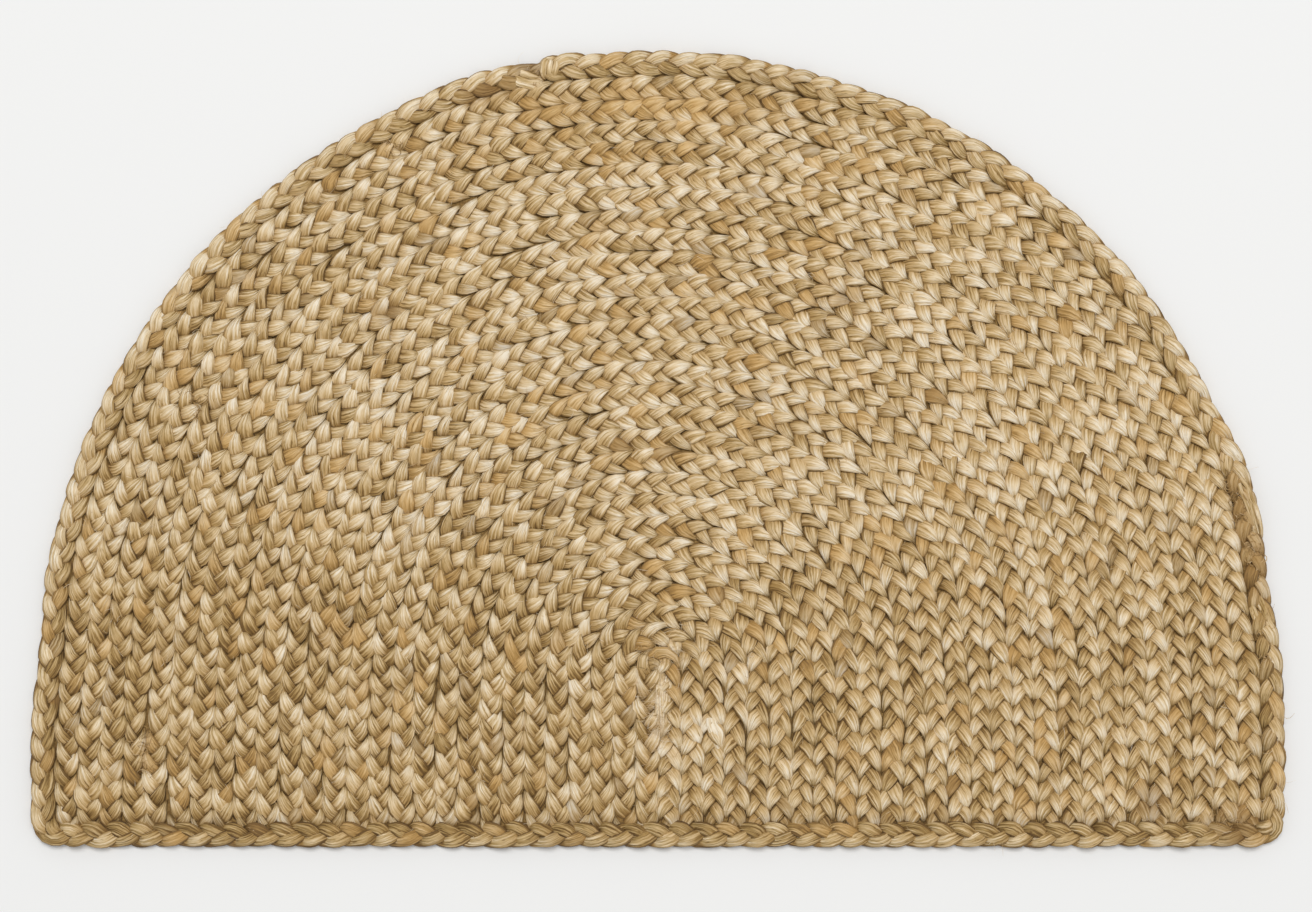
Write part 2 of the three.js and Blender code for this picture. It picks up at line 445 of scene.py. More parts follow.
def buildFibreGroup():
    group, given, result = newGroup(
        "fibreStreaks",
        [
            ("Along Around", "NodeSocketVector", None),
            ("Bundle Width", "NodeSocketFloat", 0.0013),
            ("Bundle Length", "NodeSocketFloat", 0.016),
            ("Fibre Width", "NodeSocketFloat", 0.00034),
            ("Fibre Length", "NodeSocketFloat", 0.008),
            ("Fleck Width", "NodeSocketFloat", 0.0007),
            ("Fleck Length", "NodeSocketFloat", 0.0045),
            ("Stray", "NodeSocketFloat", 0.0009),
        ],
        [(layer["out"], "NodeSocketFloat") for layer in streakLayers],
    )
    parts = group.nodes.new("ShaderNodeSeparateXYZ")
    group.links.new(given.outputs["Along Around"], parts.inputs[0])

    stray = group.nodes.new("ShaderNodeTexNoise")
    stray.noise_dimensions = "2D"
    stray.inputs["Scale"].default_value = strayScale
    stray.inputs["Detail"].default_value = 1.0
    group.links.new(given.outputs["Along Around"], stray.inputs["Vector"])
    strayed = mathNode(group, "SUBTRACT", stray.outputs["Fac"], noiseMiddle)
    strayed = mathNode(group, "MULTIPLY", strayed, given.outputs["Stray"])
    strayed = mathNode(group, "ADD", parts.outputs["Y"], strayed)

    for layer in streakLayers:
        along = mathNode(group, "DIVIDE", parts.outputs["X"], given.outputs[layer["size"] + " Length"])
        around = mathNode(group, "DIVIDE", strayed, given.outputs[layer["size"] + " Width"])
        shifted = mathNode(group, "ADD", around, layer["shift"])
        place = group.nodes.new("ShaderNodeCombineXYZ")
        group.links.new(along, place.inputs["X"])
        group.links.new(shifted, place.inputs["Y"])
        noise = group.nodes.new("ShaderNodeTexNoise")
        noise.noise_dimensions = "2D"
        noise.inputs["Scale"].default_value = 1.0
        noise.inputs["Detail"].default_value = layer["detail"]
        group.links.new(place.outputs[0], noise.inputs["Vector"])
        group.links.new(noise.outputs["Fac"], result.inputs[layer["out"]])
    return group


# The colours of dry jute, from dark brown to nearly white, with golden and brown laid over.
straw = {
    "stops": [
        {"at": 0.00, "colour": (0.130, 0.065, 0.012, 1)},
        {"at": 0.25, "colour": (0.400, 0.255, 0.085, 1)},
        {"at": 0.50, "colour": (0.650, 0.475, 0.245, 1)},
        {"at": 0.75, "colour": (0.850, 0.695, 0.465, 1)},
        {"at": 1.00, "colour": (0.980, 0.890, 0.730, 1)},
    ],
    "golden": (0.90, 0.72, 0.46, 1),
    "rust": (0.52, 0.33, 0.12, 1),
    "rustShare": 0.3,
    "brown": (0.17, 0.09, 0.03, 1),
    "brownShare": 0.75,
}


def buildStrawGroup():
    group, given, result = newGroup(
        "strawColours",
        [
            ("Tone", "NodeSocketFloat", 0.5),
            ("Golden", "NodeSocketFloat", 0.0),
            ("Brown", "NodeSocketFloat", 0.0),
        ],
        [("Colour", "NodeSocketColor")],
    )
    ramp = group.nodes.new("ShaderNodeValToRGB")
    while len(ramp.color_ramp.elements) < len(straw["stops"]):
        ramp.color_ramp.elements.new(0.5)
    for element, stop in zip(ramp.color_ramp.elements, straw["stops"]):
        element.position = stop["at"]
        element.color = stop["colour"]
    group.links.new(given.outputs["Tone"], ramp.inputs[0])
    golden = mixNode(group, given.outputs["Golden"], ramp.outputs[0], straw["golden"], "MULTIPLY")
    rustShare = mathNode(group, "MULTIPLY", given.outputs["Golden"], straw["rustShare"])
    golden = mixNode(group, rustShare, golden, straw["rust"])
    brownShare = mathNode(group, "MULTIPLY", given.outputs["Brown"], straw["brownShare"])
    brown = mixNode(group, brownShare, golden, straw["brown"])
    group.links.new(brown, result.inputs["Colour"])
    return group


fibreStreaks = buildFibreGroup()
strawColours = buildStrawGroup()


def placeGroup(tree, group, values):
    node = tree.nodes.new("ShaderNodeGroup")
    node.node_tree = group
    for label, value in values.items():
        if isinstance(value, (int, float)):
            node.inputs[label].default_value = value
        else:
            tree.links.new(value, node.inputs[label])
    return node


def buildJute(name, look):
    material = bpy.data.materials.new(name)
    material.use_nodes = True
    tree = material.node_tree
    shader = tree.nodes["Principled BSDF"]
    shader.inputs["Sheen Weight"].default_value = look["sheen"]
    shader.inputs["Sheen Roughness"].default_value = look["sheenSpread"]
    shader.inputs["Specular IOR Level"].default_value = look["gloss"]
    fibre = tree.nodes.new("ShaderNodeUVMap")
    fibre.uv_map = "fibre"
    streaks = placeGroup(tree, fibreStreaks, {"Along Around": fibre.outputs[0]})
    bundles = mathNode(tree, "SUBTRACT", streaks.outputs["Bundles"], noiseMiddle)
    fibres = mathNode(tree, "SUBTRACT", streaks.outputs["Fibres"], noiseMiddle)
    flecks = mathNode(tree, "SUBTRACT", streaks.outputs["Flecks"], look["fleckFrom"])
    flecks = mathNode(tree, "MULTIPLY", mathNode(tree, "MAXIMUM", flecks, 0.0), look["flecks"])

    tint = tree.nodes.new("ShaderNodeAttribute")
    tint.attribute_name = "tint"
    channels = tree.nodes.new("ShaderNodeSeparateColor")
    tree.links.new(tint.outputs["Color"], channels.inputs[0])
    tone = mathNode(tree, "MULTIPLY_ADD", bundles, look["bundles"], channels.outputs[0])
    tone = mathNode(tree, "MULTIPLY_ADD", fibres, look["fibres"], tone)
    tone = mathNode(tree, "SUBTRACT", tone, flecks)
    tone = mathNode(tree, "ADD", tone, look["tone"])

    # Painted shade: deep between the strands, far from both faces of the mat, the jute is painted darker
    # and browner, the shade of the creases together with some of their dust.
    place = tree.nodes.new("ShaderNodeTexCoord")
    parts = tree.nodes.new("ShaderNodeSeparateXYZ")
    tree.links.new(place.outputs["Object"], parts.inputs[0])
    upward = parts.outputs["Z"]
    belowFace = rangeNode(tree, upward, look["deepFrom"], look["deepTo"], look["deepShade"], 0.0)
    aboveSole = rangeNode(tree, upward, look["soleFrom"], look["soleTo"], 0.0, 1.0)
    deep = mathNode(tree, "MULTIPLY", belowFace, aboveSole)
    tone = mathNode(tree, "SUBTRACT", tone, deep)
    golden = mathNode(tree, "MULTIPLY_ADD", deep, look["deepGolden"], channels.outputs[1])
    shares = {"Tone": tone, "Golden": golden, "Brown": channels.outputs[2]}
    colour = placeGroup(tree, strawColours, shares)
    tree.links.new(colour.outputs[0], shader.inputs["Base Color"])
    rough = mathNode(tree, "MULTIPLY_ADD", streaks.outputs["Fibres"], look["roughSpread"], look["rough"])
    tree.links.new(rough, shader.inputs["Roughness"])

    height = mathNode(tree, "MULTIPLY_ADD", fibres, look["fibreBump"], bundles)
    bump = tree.nodes.new("ShaderNodeBump")
    bump.inputs["Strength"].default_value = look["bump"]
    bump.inputs["Distance"].default_value = look["bumpHeight"]
    tree.links.new(height, bump.inputs["Height"])
    tree.links.new(bump.outputs[0], shader.inputs["Normal"])
    return material


# The looks of the plaited jute: how strongly each streak layer changes the tone, and from which height
# to which it darkens.
fieldLook = {
    "tone": 0.006,
    "bundles": 1.10,
    "fibres": 0.50,
    "flecks": 2.2,
    "fleckFrom": 0.66,
    "rough": 0.50,
    "roughSpread": 0.3,
    "sheen": 0.04,
    "sheenSpread": 0.5,
    "gloss": 0.32,
    "soleFrom": 0.0028,
    "soleTo": 0.0048,
    "deepFrom": 0.0036,
    "deepTo": 0.0072,
    "deepShade": 0.42,
    "deepGolden": 2.0,
    "bump": 1.0,
    "bumpHeight": 0.0009,
    "fibreBump": 0.45,
}
fieldJute = buildJute("fieldJute", fieldLook)
edgeLook = dict(fieldLook, tone=-0.04)
edgeJute = buildJute("edgeJute", edgeLook)
print("made the jute materials")


# The three-strand plait of the rows. The lean is the plait's forward lean, the stretch makes its lobes
# longer, and the pinch thins a strand where it dives. A pair such as goldenPick is the least share and
# how much more it can be.
rowPlait = {
    "period": 0.0393,
    "swing": 0.0062,
    "lean": 0.16,
    "stretch": 0.66,
    "rise": 0.0024,
    "flatness": 0.80,
    "middle": 0.0053,
    "strandWidth": 0.0100,
    "strandHeight": 0.0037,
    "fullWidth": 1.08,
    "borderWidth": 0.30,
    "middleWidth": 0.95,
    "borderPinch": 3.2,
    "middlePinch": 3.0,
    "roll": 0.30,
    "steps": 20,
    "spareTurns": 2.0,
    "alongPlay": 0.0017,
    "sidePlay": 0.0013,
    "heightPlay": 0.0006,
    "widthPlay": 0.19,
    "ripple": 0.05,
    "rippleRate": 1.7,
    "rollPlay": 0.34,
    "middleTone": 0.5,
    "tonePlay": 0.16,
    "strandTone": 0.05,
    "driftTone": 0.09,
    "driftLength": 0.11,
    "paleTone": 0.25,
    "litTone": 0.32,
    "litPlace": 2.6,
    "litMiddle": 0.45,
    "sideTone": 0.0,
    "blunt": 0.13,
    "bluntFrom": 0.12,
    "bluntOver": 0.20,
    "baseShadeGolden": 0.50,
    "goldenLobes": 0.11,
    "goldenPick": (0.3, 0.4),
    "goldenPatch": (0.3, 0.9),
    "brownLobes": 0.035,
    "brownPick": (0.15, 0.3),
    "brownPatch": (0.5, 0.5),
    "wander": 0.0005,
    "tuck": 0.0050,
    "tuckSink": 0.0026,
    "tuckOver": 0.009,
    "tuckWidth": 0.75,
}


strandCount = 3


def pickedShare(pair, picked):
    return pair[0] + pair[1] * picked


def lobeColours(plait, points, along, lobe, play, edge):
    # Each lobe has its own colour. It changes where the strand dives out of sight.
    pick = dice.random((3, playCount))[:, np.floor(lobe + 0.5).astype(int) % playCount]
    tints = tintAt(points, edge)
    tone = plait["middleTone"] + plait["tonePlay"] * smoothNoise(lobe, play[0])
    tone = tone + plait["strandTone"] * dice.uniform(-1.0, 1.0)
    tone = tone + plait["driftTone"] * smoothNoise(along / plait["driftLength"], play[1])
    tone = tone + plait["paleTone"] * tints[:, 2]
    # Painted light and shade: each lobe is lighter near its tip and darker at its base and at the very
    # tip where it dives, partly dirt in the creases and partly painted shade. On the edge plait one
    # side, its inner lobes half under the rows, gets a painted shade, and the painted fall-off is added
    # last.
    swung = np.sin((lobe - 0.5) * quarter)
    lit = np.sin(np.abs(swung) ** plait["litPlace"] * math.pi) - plait["litMiddle"]
    tone = tone + plait["litTone"] * lit + plait["sideTone"] * swung + paintedFalloffAt(points, edge)
    golden = np.where(pick[0] < plait["goldenLobes"], pickedShare(plait["goldenPick"], pick[1]), 0.0)
    brown = np.where(pick[2] < plait["brownLobes"], pickedShare(plait["brownPick"], pick[1]), 0.0)
    golden = np.maximum(golden, tints[:, 0] * pickedShare(plait["goldenPatch"], pick[1]))
    # Painted shade: each lobe is more golden at its base, where it comes out from under the lobe before.
    golden = golden + plait["baseShadeGolden"] * (1.0 - np.abs(swung))
    brown = np.maximum(brown, tints[:, 1] * pickedShare(plait["brownPatch"], pick[1]))
    return np.column_stack([tone, golden, brown, np.ones(len(tone))])


def plaitStrand(path, plait, strand, start, edge):
    # One strand's way through the plait, from where it lies at each step to how it is coloured there.
    period = plait["period"]
    count = int((path["length"] / period + 2 * plait["spareTurns"]) * plait["steps"])
    tau = (np.arange(count) / plait["steps"] - plait["spareTurns"] + start) * fullTurn
    lobe = tau / quarter + 0.5  # whole numbers lie in the middle of each lobe
    play = dice.uniform(-1.0, 1.0, (8, playCount))
    bent = tau + plait["lean"] * np.sin(tau) - plait["stretch"] / 2 * np.cos(2.0 * tau)
    along = period / fullTurn * bent + (strand / strandCount - start) * period
    along = along + plait["alongPlay"] * smoothNoise(lobe, play[0])
    side = plait["swing"] * np.sin(tau) + plait["sidePlay"] * smoothNoise(lobe, play[1])
    wave = np.sin(2.0 * tau)
    height = plait["rise"] * np.sign(wave) * np.abs(wave) ** plait["flatness"]
    height = height + plait["heightPlay"] * smoothNoise(lobe, play[2])
    reach = np.abs(np.sin(tau))
    middleX = np.interp(along, path["reach"], path["middle"][:, 0])
    blunt = plait["blunt"] * smoothStep((middleX - plait["bluntFrom"]) / plait["bluntOver"])
    border = plait["borderWidth"] + blunt
    size = plait["fullWidth"] - (plait["fullWidth"] - border) * reach ** plait["borderPinch"]
    size = size - (plait["fullWidth"] - plait["middleWidth"]) * (1.0 - reach) ** plait["middlePinch"]
    ripple = plait["ripple"] * smoothNoise(tau * plait["rippleRate"], play[4])
    size = size * (1.0 + plait["widthPlay"] * smoothNoise(lobe, play[3]) + ripple)
    roll = plait["rollPlay"] * smoothNoise(lobe, play[5]) - plait["roll"] * np.sin(tau) * wave
    kept = (along >= 0.0) & (along <= path["length"])
    everyStep = (along, side, height, size, roll, lobe)
    along, side, height, size, roll, lobe = (values[kept] for values in everyStep)

    narrow = np.interp(along, path["ends"]["at"], path["ends"]["narrow"])
    sink = np.interp(along, path["ends"]["at"], path["ends"]["sink"])
    shift = np.interp(along, path["ends"]["at"], path["ends"]["shift"])
    middle, out = placeOn(path, along)
    flat = middle + out * (side * narrow + shift)[:, None]
    points = np.column_stack([flat, plait["middle"] + height * narrow - sink])
    colour = lobeColours(plait, points, along, lobe, play[6:], edge)
    return {"points": points, "sizes": size * narrow, "rolls": roll, "along": along, "tint": colour}


def rowPath(row):
    radius = (row - 0.5) * mat["rowPitch"]
    legRun = springY - cutY + rowPlait["tuck"]
    path = joinPath([
        legStretch(radius, -1, legRun, 0.0, rowPlait["wander"]),
        archStretch(radius, math.pi, 0.0, rowPlait["wander"]),
        legStretch(radius, 1, 0.0, legRun, rowPlait["wander"]),
    ])
    length = path["length"]
    over = rowPlait["tuckOver"]
    width = rowPlait["tuckWidth"]
    sink = rowPlait["tuckSink"]
    path["ends"] = {
        "at": [0.0, over, length - over, length],
        "narrow": [width, 1.0, 1.0, width],
        "sink": [sink, 0.0, 0.0, sink],
        "shift": [0.0, 0.0, 0.0, 0.0],
    }
    return path


rowGroups = [
    {"name": "rows_inner", "first": 1, "last": 10},
    {"name": "rows_middle", "first": 11, "last": 16},
    {"name": "rows_upper", "first": 17, "last": 20},
    {"name": "rows_outer", "first": 21, "last": 24},
    {"name": "rows_rim", "first": 25, "last": 27},
]
rowProfile = buildProfile(rowPlait["strandWidth"], rowPlait["strandHeight"])
for rowGroup in rowGroups:
    strands = []
    for row in range(rowGroup["first"], rowGroup["last"] + 1):
        path = rowPath(row)
        start = dice.random()
        for strand in range(strandCount):
            run = plaitStrand(path, rowPlait, strand, start, False)
            strands.append(strandMesh(run, rowProfile))
    finishPiece(rowGroup["name"], strands, "field", fieldJute)
bpy.data.objects.remove(rowProfile["object"])


# The plait round the outline, from the join over the arch, round both corners and back to the join. Its
# start is tucked in over the first few centimetres, and its tail over the last two.
edgePlait = dict(
    rowPlait,
    period=0.0450,
    swing=0.0046,
    strandWidth=0.0094,
    strandHeight=0.0046,
    lean=0.12,
    stretch=0.25,
    fullWidth=1.06,
    borderWidth=0.80,
    middleWidth=0.72,
    borderPinch=5.0,
    middlePinch=2.2,
    roll=0.20,
    sidePlay=0.0005,
    widthPlay=0.08,
    tonePlay=0.10,
    # Painted light along each lobe, and a painted shade on the inner lobes, half under the rows.
    litTone=0.06,
    sideTone=0.15,
    blunt=0.0,
    begin=0.13,
    startReach=[0.0, 0.002, 0.007, 0.016, 0.035],
    startNarrow=[0.55, 0.85, 1.02, 1.06, 1.0],
    startSink=[0.0018, 0.0004, -0.0003, -0.0006, 0.0],
    startProud=0.0012,
    tail=0.022,
    tailNarrow=0.78,
    tailSink=0.0014,
)


def edgePath():
    radius = archRadius - edgeWidth / 2
    cornerRadius = edgeWidth / 2 + mat["innerCorner"]
    cornerX = radius + flare - cornerRadius
    cornerY = bottomY + edgeWidth / 2 + cornerRadius
    legRun = springY - cornerY
    join = math.radians(mat["joinAngle"])
    gap = mat["joinGap"] / radius
    path = joinPath([
        archStretch(radius, join - gap, 0.0),
        legStretch(radius, 1, 0.0, legRun),
        cornerStretch(cornerX, cornerY, cornerRadius, 0.0, -quarter),
        straightStretch(cornerX, -cornerX, cornerY - cornerRadius),
        cornerStretch(-cornerX, cornerY, cornerRadius, 3 * quarter, 2 * quarter),
        legStretch(radius, -1, legRun, 0.0),
        archStretch(radius, math.pi, join + gap),
    ])
    length = path["length"]
    proud = edgePlait["startProud"]
    path["ends"] = {
        "at": edgePlait["startReach"] + [length - edgePlait["tail"], length],
        "narrow": edgePlait["startNarrow"] + [1.0, edgePlait["tailNarrow"]],
        "sink": edgePlait["startSink"] + [0.0, edgePlait["tailSink"]],
        "shift": [0.0, proud, proud, proud, 0.0, 0.0, -proud],
    }
    return path


edgeProfile = buildProfile(edgePlait["strandWidth"], edgePlait["strandHeight"])
path = edgePath()
strands = []
for strand in range(strandCount):
    run = plaitStrand(path, edgePlait, strand, edgePlait["begin"], True)
    strands.append(strandMesh(run, edgeProfile))
finishPiece("edge_plait", strands, "edge_braid", edgeJute)
bpy.data.objects.remove(edgeProfile["object"])


# The packed fibres and sewing between the strands, a thin flat web at half the mat's height. Its dark
# tone is partly the fibres' own colour and partly painted shade for the gaps between the strands.
web = {
    "inset": 0.0055,
    "under": 0.0044,
    "thick": 0.0006,
    "spacing": 0.006,
    "flatSize": (0.8, 0.507),
    "flatArea": 0.32,
    "patches": 900.0,
    "detail": 4.0,
    "tone": 0.12,
    "toneSpread": 0.5,
    "golden": 0.2,
    "brown": 0.1,
    "rough": 0.95,
    "bumpHeight": 0.0006,
}


def buildMottledJute(name, look):
    # Jute too fine to show its own fibres, mottled in patches.
    material = bpy.data.materials.new(name)
    material.use_nodes = True
    tree = material.node_tree
    shader = tree.nodes["Principled BSDF"]
    shader.inputs["Roughness"].default_value = look["rough"]
    place = tree.nodes.new("ShaderNodeTexCoord")
    noise = tree.nodes.new("ShaderNodeTexNoise")
    noise.inputs["Scale"].default_value = look["patches"]
    noise.inputs["Detail"].default_value = look["detail"]
    tree.links.new(place.outputs["Object"], noise.inputs["Vector"])
    tone = mathNode(tree, "SUBTRACT", noise.outputs["Fac"], noiseMiddle)
    tone = mathNode(tree, "MULTIPLY_ADD", tone, look["toneSpread"], look["tone"])
    shares = {"Tone": tone, "Golden": look["golden"], "Brown": look["brown"]}
    colour = placeGroup(tree, strawColours, shares)
    tree.links.new(colour.outputs[0], shader.inputs["Base Color"])
    if look["bumpHeight"]:
        bump = tree.nodes.new("ShaderNodeBump")
        bump.inputs["Distance"].default_value = look["bumpHeight"]
        tree.links.new(noise.outputs["Fac"], bump.inputs["Height"])
        tree.links.new(bump.outputs[0], shader.inputs["Normal"])
    return material


def outlinePoints(inset, spacing):
    # The half-moon outline, inset, as a ring of points.
    radius = archRadius - inset
    low = bottomY + inset
    ring = joinPath([
        archStretch(radius, math.pi, 0.0),
        legStretch(radius, 1, 0.0, springY - low),
        straightStretch(radius + flare, -radius - flare, low),
        legStretch(radius, -1, springY - low, 0.0),
    ])
    distance = np.arange(0.0, ring["length"] - spacing / 2, spacing)
    return placeOn(ring, distance)[0]


shape = bmesh.new()
rimPlaces = outlinePoints(web["inset"], web["spacing"])
rim = [shape.verts.new((x, y, web["under"])) for x, y in rimPlaces]
shape.faces.new(rim)
raised = bmesh.ops.extrude_face_region(shape, geom=list(shape.faces))["geom"]
raisedVerts = [part for part in raised if isinstance(part, bmesh.types.BMVert)]
bmesh.ops.translate(shape, verts=raisedVerts, vec=(0, 0, web["thick"]))
bmesh.ops.recalc_face_normals(shape, faces=shape.faces)
webMesh = bpy.data.meshes.new("fibre_web")
shape.to_mesh(webMesh)
shape.free()
webMesh.materials.append(buildMottledJute("packedFibreAndShade", web))
webPiece = bpy.data.objects.new("fibre_web", webMesh)
bpy.context.scene.collection.objects.link(webPiece)
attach(webPiece, "root")
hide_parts("field")
print("made the web between the strands")


# Strands spliced in or worked loose, each a few bundles of fibres side by side that lie over the plait.
# A splice runs from one place to another, with its width, its sideways bow, its count of bundles, its
# tone and how far it stands proud.
spliceColumns = ("from", "to", "width", "bow", "bundles", "tone", "proud")
spliceRows = [
    ((0.3702, -0.0120), (0.3838, -0.0580), 0.0044, -0.0012, 3, 0.54, 0.0012),
    ((0.3800, -0.0900), (0.3918, -0.1221), 0.0070, 0.0005, 3, 0.46, 0.0),
    ((0.0042, -0.1370), (0.0030, -0.1850), 0.0085, 0.0010, 5, 0.66, 0.0),
    ((0.0335, -0.1690), (0.0405, -0.1925), 0.0050, 0.0004, 3, 0.88, 0.0009),
    ((-0.0960, 0.2396), (-0.0735, 0.2318), 0.0066, 0.0008, 3, 0.62, 0.0008),
    ((-0.0694, 0.2368), (-0.0678, 0.2490), 0.0066, -0.0006, 3, 0.52, 0.0014),
]
spliceShape = {
    "width": 0.0036,
    "height": 0.0020,
    "overlap": 2.1,
    "step": 0.0015,
    "spareSteps": 6,
    "top": 0.0078,
    "dip": 0.0036,
    "endPower": 3,
    "endWidth": 0.35,
    "endSpread": 0.4,
    "endPlay": 0.5,
    "play": 0.0012,
    "playLength": 0.007,
    "heightPlay": 0.0005,
    "heightLength": 0.006,
    "tonePlay": 0.12,
    "toneLength": 0.01,
    "bundleTone": 0.10,
    "playCount": 97,
    "golden": 0.15,
}


def spliceRun(splice, place):
    # One bundle of a splice. The place across it goes from -0.5 to 0.5.
    shape = spliceShape
    width = splice["width"] / splice["bundles"]
    first = np.array(splice["from"]) + dice.uniform(-1.0, 1.0, 2) * width * shape["endPlay"]
    last = np.array(splice["to"]) + dice.uniform(-1.0, 1.0, 2) * width * shape["endPlay"]
    run = float(np.hypot(*(last - first)))
    count = int(run / shape["step"]) + shape["spareSteps"]
    share = np.linspace(0.0, 1.0, count)
    along = share * run
    across = np.array([last[1] - first[1], first[0] - last[0]]) / run
    play = dice.uniform(-1.0, 1.0, (3, shape["playCount"]))
    ending = 1.0 - np.abs(2.0 * share - 1.0) ** shape["endPower"]
    sway = splice["bow"] * np.sin(share * math.pi)
    sway = sway + shape["play"] * smoothNoise(along / shape["playLength"], play[0])
    sway = sway + place * splice["width"] * (shape["endSpread"] + (1.0 - shape["endSpread"]) * ending)
    flat = first + (last - first) * share[:, None] + across * sway[:, None]
    height = shape["top"] + splice["proud"] - shape["dip"] * (1.0 - ending)
    height = height + shape["heightPlay"] * smoothNoise(along / shape["heightLength"], play[1])
    fullness = shape["endWidth"] + (1.0 - shape["endWidth"]) * np.sqrt(ending)
    size = shape["overlap"] * width / shape["width"] * fullness
    tone = splice["tone"] + shape["tonePlay"] * smoothNoise(along / shape["toneLength"], play[2])
    tone = tone + shape["bundleTone"] * dice.uniform(-1.0, 1.0)
    golden = np.full(count, shape["golden"])
    tint = np.column_stack([tone, golden, 0 * tone, 1 + 0 * tone])
    points = np.column_stack([flat, height])
    return {"points": points, "sizes": size, "rolls": 0 * size, "along": along, "tint": tint}


spliceProfile = buildProfile(spliceShape["width"], spliceShape["height"])
strands = []
for spliceRow in spliceRows:
    splice = dict(zip(spliceColumns, spliceRow))
    for place in np.linspace(-0.5, 0.5, splice["bundles"]):
        strands.append(strandMesh(spliceRun(splice, place), spliceProfile))
finishPiece("spliced_strands", strands, None, fieldJute)
bpy.data.objects.remove(spliceProfile["object"])


# Loose fibres: short hairs all over the mat, and tufts where strands were joined or have frayed.
hairs = {
    "count": 1700,
    "corners": 3,
    "thick": 0.00024,
    "thickPlay": 0.5,
    "length": 0.010,
    "lengthPlay": 0.6,
    "bend": 90.0,
    "turn": 0.7,
    "wave": 0.5,
    "waveRate": 5.0,
    "waveShift": 9.0,
    "lift": 0.0012,
    "liftPlay": (0.3, 1.4),
    "base": 0.0082,
    "sink": 0.0012,
    "taper": 0.6,
    "steps": 6,
    "endClear": 0.01,
    "rowReach": 0.006,
}

# How the fibres of a tuft vary, each pair the least and the most of its share.
tuftPlay = {
    "steps": 11,
    "spread": 0.5,
    "bend": (0.6, 1.4),
    "length": (0.6, 1.3),
    "lift": (0.5, 1.6),
    "thick": (0.6, 1.3),
}

# A tuft: the angle and radius of its place, its reach along and across the rows, how many fibres, how
# long, how curled and how thick.
tuftColumns = ("angle", "radius", "reach", "count", "length", "bend", "thick")
tufts = [
    (15.5, 0.3850, (0.030, 0.0050), 60, 0.013, 420, 0.0006),
    (11.0, 0.3870, (0.009, 0.0035), 26, 0.015, 480, 0.0008),
    (3.5, 0.3875, (0.034, 0.0045), 40, 0.010, 330, 0.0005),
    (117.3, 0.3737, (0.007, 0.0045), 26, 0.010, 330, 0.0005),
    (190.3, 0.3300, (0.012, 0.0060), 30, 0.012, 260, 0.0005),
    (151.1, 0.3415, (0.012, 0.0060), 30, 0.012, 220, 0.0005),
    (-14.5, 0.3790, (0.006, 0.0160), 30, 0.010, 200, 0.0004),
    (101.8, 0.3870, (0.007, 0.0050), 16, 0.008, 160, 0.0004),
]

# Straighter and paler fibres, worked loose round the short straight centre.
softTufts = [
    (90.0, 0.0120, (0.024, 0.0140), 60, 0.014, 80, 0.0003),
    (-81.0, 0.0250, (0.012, 0.0400), 150, 0.014, 50, 0.00026),
]


def hairPoints(start, heading, length, bend, lift, steps):
    # A hair grows out of the plait, bends and comes back to it.
    share = np.linspace(0.0, 1.0, steps)
    arch = np.sin(share * math.pi)
    wave = hairs["wave"] * np.sin(share * hairs["waveRate"] + heading * hairs["waveShift"])
    course = heading + bend * length * share + wave
    stride = length / (steps - 1)
    across = np.append(0.0, np.cumsum(np.cos(course[:-1]))) * stride
    upward = np.append(0.0, np.cumsum(np.sin(course[:-1]))) * stride
    height = hairs["base"] + lift * arch - hairs["sink"] * (1.0 - arch)
    return np.column_stack([start[0] + across, start[1] + upward, height])


def addHair(curve, points, thick):
    taper = 1.0 - hairs["taper"] * np.linspace(0.0, 1.0, len(points)) ** 2
    addSpline(curve, points, taper * thick / hairs["thick"], 0 * taper)


def hairProfile():
    corner = np.arange(hairs["corners"]) * fullTurn / hairs["corners"]
    return profileCurve(np.cos(corner) * hairs["thick"] / 2, np.sin(corner) * hairs["thick"] / 2)


def buildHairs():
    profile = hairProfile()
    curve = newSweep(profile)
    paths = [rowPath(row) for row in range(1, mat["rowCount"] + 1)] + [edgePath()]
    lengths = np.array([path["length"] for path in paths])
    for choice in dice.choice(len(paths), hairs["count"], p=lengths / lengths.sum()):
        distance = dice.uniform(hairs["endClear"], lengths[choice] - hairs["endClear"])
        middle, out = placeOn(paths[choice], np.array([distance]))
        start = middle[0] + out[0] * dice.uniform(-hairs["rowReach"], hairs["rowReach"])
        heading = math.atan2(out[0][1], out[0][0]) - quarter + dice.normal(0.0, hairs["turn"])
        length = hairs["length"] * (1.0 + hairs["lengthPlay"] * dice.uniform(-1.0, 1.0))
        thick = hairs["thick"] * (1.0 + hairs["thickPlay"] * dice.uniform(-1.0, 1.0))
        bend = dice.normal(0.0, hairs["bend"])
        lift = hairs["lift"] * dice.uniform(*hairs["liftPlay"])
        addHair(curve, hairPoints(start, heading, length, bend, lift, hairs["steps"]), thick)
    mesh = sweepMesh(curve)
    bpy.data.objects.remove(profile["object"])
    return mesh


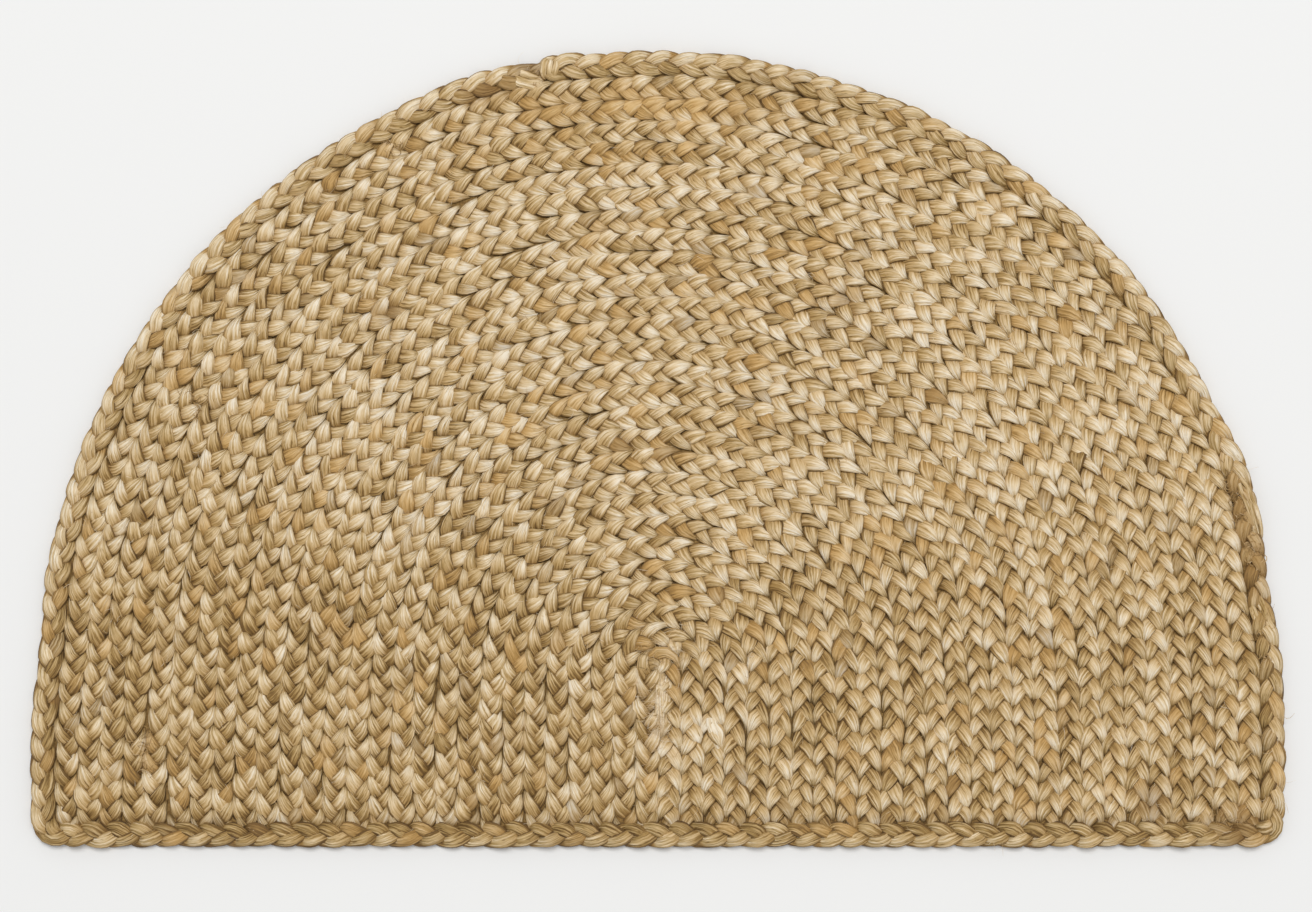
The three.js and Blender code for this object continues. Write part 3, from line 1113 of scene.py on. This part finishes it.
def buildTufts(rows, turnPlay):
    profile = hairProfile()
    curve = newSweep(profile)
    for row in rows:
        tuft = dict(zip(tuftColumns, row))
        turn = math.radians(tuft["angle"])
        outward = np.array([math.cos(turn), math.sin(turn)])
        forward = np.array([outward[1], -outward[0]])
        middle = outward * tuft["radius"] + [0.0, springY]
        for _ in range(tuft["count"]):
            spread = dice.normal(0.0, tuftPlay["spread"], 2) * tuft["reach"]
            start = middle + forward * spread[0] + outward * spread[1]
            heading = turn - quarter + dice.normal(0.0, turnPlay)
            bend = tuft["bend"] * dice.choice([-1.0, 1.0]) * dice.uniform(*tuftPlay["bend"])
            length = tuft["length"] * dice.uniform(*tuftPlay["length"])
            lift = hairs["lift"] * dice.uniform(*tuftPlay["lift"])
            thick = tuft["thick"] * dice.uniform(*tuftPlay["thick"])
            points = hairPoints(start, heading, length, bend, lift, tuftPlay["steps"])
            addHair(curve, points, thick)
    mesh = sweepMesh(curve)
    bpy.data.objects.remove(profile["object"])
    return mesh


looseLook = {
    "turnPlay": 0.5,
    "patches": 160.0,
    "detail": 1.0,
    "tone": 0.62,
    "toneSpread": 1.8,
    "golden": 0.15,
    "brown": 0.0,
    "rough": 0.6,
    "bumpHeight": 0.0,
}
tuftLook = dict(
    looseLook,
    turnPlay=0.9,
    patches=300.0,
    tone=0.38,
    toneSpread=1.6,
    golden=0.5,
    brown=0.15,
)
looseMeshes = [buildHairs(), buildTufts(softTufts, looseLook["turnPlay"])]
looseJute = buildMottledJute("looseFibre", looseLook)
finishPiece("loose_fibres", looseMeshes, None, looseJute)
tuftMeshes = [buildTufts(tufts, tuftLook["turnPlay"])]
tuftJute = buildMottledJute("frayedFibre", tuftLook)
finishPiece("frayed_tufts", tuftMeshes, None, tuftJute)


# The floor, the light and the camera, which looks straight down from where the mat fills the picture as
# it does in the photograph.
studio = {
    "floorColour": (0.86, 0.86, 0.85, 1),
    "floorRough": 0.9,
    "floorSize": 12.0,
    "worldColour": (1, 1, 1, 1),
    "worldLight": 0.51,
    "lampPower": 254,
    "lampWidth": 3.0,
    "lampDepth": 2.4,
    "lampPlace": (0.2, 2.0, 6.4),
    "lensLength": 90,
    "lensWidth": 36,
}
shape = bmesh.new()
bmesh.ops.create_grid(shape, x_segments=1, y_segments=1, size=studio["floorSize"])
floorMesh = bpy.data.meshes.new("floor")
shape.to_mesh(floorMesh)
shape.free()
floor = bpy.data.objects.new("floor", floorMesh)
bpy.context.scene.collection.objects.link(floor)
paleFloor = bpy.data.materials.new("paleFloor")
paleFloor.use_nodes = True
floorShader = paleFloor.node_tree.nodes["Principled BSDF"]
floorShader.inputs["Base Color"].default_value = studio["floorColour"]
floorShader.inputs["Roughness"].default_value = studio["floorRough"]
floorMesh.materials.append(paleFloor)

world = bpy.data.worlds.new("studio")
world.use_nodes = True
background = world.node_tree.nodes["Background"]
background.inputs["Color"].default_value = studio["worldColour"]
background.inputs["Strength"].default_value = studio["worldLight"]
bpy.context.scene.world = world

lamp = bpy.data.lights.new("softbox", "AREA")
lamp.shape = "RECTANGLE"
lamp.size = studio["lampWidth"]
lamp.size_y = studio["lampDepth"]
lamp.energy = studio["lampPower"]
softbox = bpy.data.objects.new("softbox", lamp)
softbox.location = studio["lampPlace"]
softbox.rotation_euler = (-softbox.location).to_track_quat("-Z", "Y").to_euler()
bpy.context.scene.collection.objects.link(softbox)

# The photograph's size and the mat's middle and width in it, in pixels.
photo = {"width": 1312, "height": 912, "matMiddleX": 658, "matMiddleY": 449, "matWidth": 1252}
metresPerPixel = 2 * halfWidth / photo["matWidth"]
lens = bpy.data.cameras.new("camera")
lens.lens = studio["lensLength"]
lens.sensor_width = studio["lensWidth"]
camera = bpy.data.objects.new("camera", lens)
camera.location = (
    (photo["width"] / 2 - photo["matMiddleX"]) * metresPerPixel,
    (photo["matMiddleY"] - photo["height"] / 2) * metresPerPixel,
    thickness / 2 + photo["width"] * metresPerPixel * lens.lens / lens.sensor_width,
)
bpy.context.scene.collection.objects.link(camera)
bpy.context.scene.camera = camera
bpy.context.scene.view_settings.view_transform = "Standard"
print("set the floor, the light and the camera")
